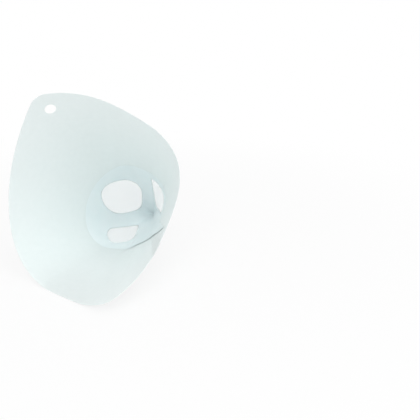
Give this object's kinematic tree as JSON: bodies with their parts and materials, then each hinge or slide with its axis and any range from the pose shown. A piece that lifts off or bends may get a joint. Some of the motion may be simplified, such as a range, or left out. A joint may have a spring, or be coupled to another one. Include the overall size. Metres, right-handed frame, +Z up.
{
  "type": "paint strainer",
  "caption": "Opened paper cone paint strainer lying on its side, with rounded windows near the tip, a fine mesh lining behind them and a hanging hole by the fold corner.",
  "frame": {"origin": "centre of the bounding box, on the surface that the cone lies on", "axes": "+Z up from the surface that it lies on; the tip points towards +Y and the open mouth faces -Y and a little up; +X to the right as seen into the mouth"},
  "size_m": [0.1284, 0.1854, 0.1328],
  "materials": {
    "paper": "smooth uncoated white paper",
    "mesh": "fine woven nylon gauze"
  },
  "bodies": {
    "root": {"paper_cone": "paper", "filter_mesh": "mesh"}
  },
  "joints": []
}
